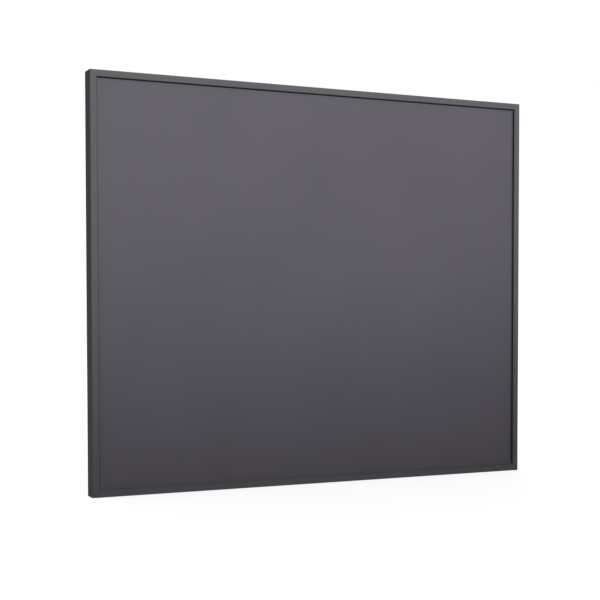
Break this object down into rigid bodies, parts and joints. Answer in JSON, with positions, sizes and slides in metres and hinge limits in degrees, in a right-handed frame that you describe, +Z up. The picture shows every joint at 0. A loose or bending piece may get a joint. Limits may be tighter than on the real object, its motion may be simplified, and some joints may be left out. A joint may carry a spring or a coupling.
{
  "type": "infrared panel heater",
  "caption": "Flat framed infrared panel heater with a dark radiant sheet, keyhole wall hangers, and a rear control box with a rocker switch, a pairing button and a cable gland.",
  "frame": {"origin": "centre of the wall screw pattern, on the plane of the wall", "axes": "+Z up, +Y into the wall, the room towards -Y, +X to the right of a person who faces the panel"},
  "size_m": [0.605, 0.044, 0.505],
  "materials": {
    "frame_finish": "fine matt powder coat",
    "radiant_finish": "satin heat-resistant coat",
    "zinc_sheet": "galvanised, dull",
    "zinc_fastener": "bright zinc",
    "key_metal": "die cast",
    "board_laminate": "glass-fibre laminate",
    "copper": "tinned copper",
    "foil": "bright foil",
    "mineral_mat": "fibrous",
    "cutout_steel": "pressed case",
    "wire_brown": "silicone insulation",
    "wire_blue": "silicone insulation",
    "wire_green": "silicone insulation",
    "housing_plastic": "fine spark texture",
    "switch_plastic": "polished",
    "paddle_plastic": "satin",
    "button_plastic": "smooth",
    "circuit_board": "solder mask",
    "component_black": "moulded",
    "relay_blue": "moulded",
    "terminal_green": "moulded",
    "clear_plastic": "polished",
    "soft_rubber": "moulded",
    "gland_plastic": "moulded polyamide"
  },
  "bodies": {
    "panel": {"frame_rail_top": "frame_finish", "frame_rail_bottom": "frame_finish", "frame_rail_left": "frame_finish", "frame_rail_right": "frame_finish", "radiant_tray": "radiant_finish", "corner_keys": "key_metal", "corner_key_screws": "zinc_fastener", "back_plate_screws": "zinc_fastener", "cover_screws": "zinc_fastener", "base_screws": "zinc_fastener", "board_screws": "zinc_fastener", "hanger_rivets": "zinc_fastener", "terminal_rivets": "zinc_fastener", "earth_stud": "zinc_fastener", "earth_nut": "zinc_fastener", "board_terminals": "zinc_fastener", "rocker_lugs": "zinc_fastener", "back_plate": "zinc_sheet", "wall_hanger_top_left": "zinc_sheet", "wall_hanger_top_right": "zinc_sheet", "wall_hanger_bottom_left": "zinc_sheet", "wall_hanger_bottom_right": "zinc_sheet", "heating_board": "board_laminate", "busbar_left": "copper", "busbar_right": "copper", "reflector_foil": "foil", "cutout_straps": "foil", "insulation_mat": "mineral_mat", "lower_thermal_cutout": "cutout_steel", "upper_thermal_cutout": "cutout_steel", "live_supply_wire": "wire_brown", "live_link_wire": "wire_brown", "live_return_wire": "wire_brown", "neutral_wire": "wire_blue", "earth_wire": "wire_green", "wire_grommet": "soft_rubber", "gland_seal": "soft_rubber", "control_box_base": "housing_plastic", "control_box_cover": "housing_plastic", "control_board": "circuit_board", "radio_module": "circuit_board", "relay": "relay_blue", "power_supply": "component_black", "pairing_switch": "component_black", "mains_terminal_block": "terminal_green", "heater_terminal_block": "terminal_green", "rocker_housing": "switch_plastic", "status_lamp": "clear_plastic", "light_pipe": "clear_plastic", "gland_body": "gland_plastic", "gland_locknut": "gland_plastic", "gland_cap_nut": "gland_plastic"},
    "rocker": {"rocker_paddle": "paddle_plastic"},
    "button": {"pairing_button": "button_plastic", "pairing_switch_plunger": "component_black"}
  },
  "joints": [
    {"name": "rocker_tilt", "type": "hinge", "parent": "panel", "child": "rocker", "pos_m": [0.128, -0.0126, -0.2335], "axis": [0, 1, 0], "range_deg": [0, 20]},
    {"name": "button_press", "type": "slide", "parent": "panel", "child": "button", "axis": [0, 0, 1], "range_m": [0, 0.0008], "stiffness_N_per_m": 1500, "springref_m": -0.0002}
  ]
}
